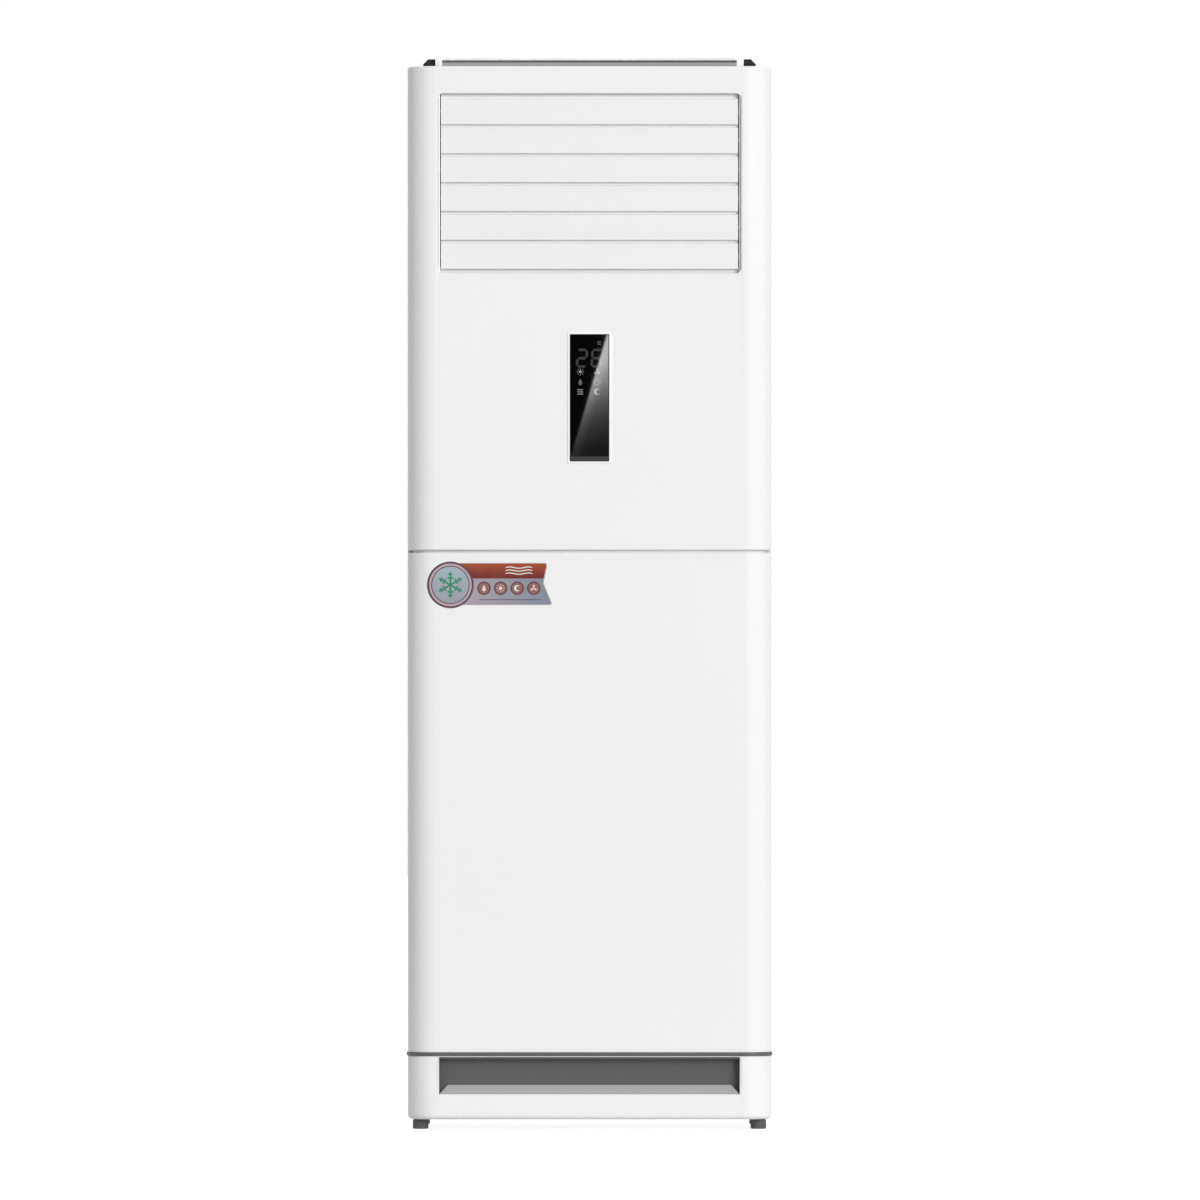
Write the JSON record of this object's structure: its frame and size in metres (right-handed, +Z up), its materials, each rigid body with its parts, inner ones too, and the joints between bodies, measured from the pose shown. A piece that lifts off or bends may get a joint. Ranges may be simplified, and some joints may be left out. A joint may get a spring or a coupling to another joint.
{
  "type": "floor standing air conditioner",
  "caption": "Tall floor standing air conditioner cabinet with swinging outlet blades, a narrow display and a low air slot.",
  "frame": {"origin": "on the floor under the middle of the cabinet", "axes": "+Z up, the front looks along -Y, +X to the right of a person who looks at the front"},
  "size_m": [0.606, 0.3846, 1.7716],
  "materials": {
    "panel_white": "satin white moulded plastic",
    "sheet_white": "satin white powder coat",
    "blade_white": "satin white moulded plastic",
    "duct_white": "matt off-white",
    "trim_grey": "matt dark grey",
    "recess_grey": "matt dark grey",
    "sill_grey": "matt light grey",
    "mesh_grey": "fine dark mesh",
    "lens_black": "polished black",
    "bezel_white": "polished white",
    "foot_grey": "matt dark grey",
    "cap_black": "matt black",
    "cover_grey": "satin mid grey",
    "pan_steel": "galvanised",
    "coil_metal": "thin bright fins"
  },
  "bodies": {
    "cabinet": {"base_plinth": "panel_white", "lower_front_panel": "panel_white", "upper_front_panel": "panel_white", "base_pan": "pan_steel", "wall_bracket": "pan_steel", "foot_front_left": "foot_grey", "foot_front_right": "foot_grey", "foot_rear_left": "foot_grey", "foot_rear_right": "foot_grey", "base_trim_ring": "trim_grey", "intake_frame": "recess_grey", "intake_sill": "sill_grey", "intake_filter": "mesh_grey", "side_filter_left": "mesh_grey", "side_filter_right": "mesh_grey", "side_panel_left": "sheet_white", "side_panel_right": "sheet_white", "back_panel": "sheet_white", "pipe_cover": "sheet_white", "top_plate": "sheet_white", "top_cover_strip": "cover_grey", "top_end_cap_left": "cap_black", "top_end_cap_right": "cap_black", "panel_hook_left": "bezel_white", "panel_hook_right": "bezel_white", "display_bezel": "bezel_white", "display_lens": "lens_black", "louver_bearing_left": "duct_white", "louver_bearing_right": "duct_white", "duct_top": "duct_white", "duct_bottom": "duct_white", "evaporator_coil": "coil_metal", "swing_vane_1": "blade_white", "swing_vane_2": "blade_white", "swing_vane_3": "blade_white", "swing_vane_4": "blade_white", "swing_vane_5": "blade_white", "swing_vane_6": "blade_white", "swing_vane_7": "blade_white"},
    "louver_blade_1": {"louver_blade_1": "blade_white"},
    "louver_blade_2": {"louver_blade_2": "blade_white"},
    "louver_blade_3": {"louver_blade_3": "blade_white"},
    "louver_blade_4": {"louver_blade_4": "blade_white"},
    "louver_blade_5": {"louver_blade_5": "blade_white"},
    "louver_blade_6": {"louver_blade_6": "blade_white"},
    "louver_tie_bar": {"louver_tie_bar": "duct_white"}
  },
  "joints": [
    {"name": "louver_1", "type": "hinge", "parent": "cabinet", "child": "louver_blade_1", "pos_m": [0, -0.176, 1.6823], "axis": [-1, 0, 0], "range_deg": [0, 75]},
    {"name": "louver_2", "type": "hinge", "parent": "cabinet", "child": "louver_blade_2", "pos_m": [0, -0.176, 1.6345], "axis": [-1, 0, 0], "range_deg": [0, 75]},
    {"name": "louver_3", "type": "hinge", "parent": "cabinet", "child": "louver_blade_3", "pos_m": [0, -0.176, 1.5867], "axis": [-1, 0, 0], "range_deg": [0, 75]},
    {"name": "louver_4", "type": "hinge", "parent": "cabinet", "child": "louver_blade_4", "pos_m": [0, -0.176, 1.5389], "axis": [-1, 0, 0], "range_deg": [0, 75]},
    {"name": "louver_5", "type": "hinge", "parent": "cabinet", "child": "louver_blade_5", "pos_m": [0, -0.176, 1.4911], "axis": [-1, 0, 0], "range_deg": [0, 75]},
    {"name": "louver_6", "type": "hinge", "parent": "cabinet", "child": "louver_blade_6", "pos_m": [0, -0.176, 1.4433], "axis": [-1, 0, 0], "range_deg": [0, 75]},
    {"name": "tie_bar_pin", "type": "hinge", "parent": "louver_blade_1", "child": "louver_tie_bar", "pos_m": [-0.2, -0.165, 1.7201], "axis": [-1, 0, 0], "range_deg": [-75, 0]}
  ],
  "couplings": [
    {"joint": "louver_2", "follows": "louver_1", "ratio": 1},
    {"joint": "louver_3", "follows": "louver_1", "ratio": 1},
    {"joint": "louver_4", "follows": "louver_1", "ratio": 1},
    {"joint": "louver_5", "follows": "louver_1", "ratio": 1},
    {"joint": "louver_6", "follows": "louver_1", "ratio": 1},
    {"joint": "tie_bar_pin", "follows": "louver_1", "ratio": -1}
  ]
}
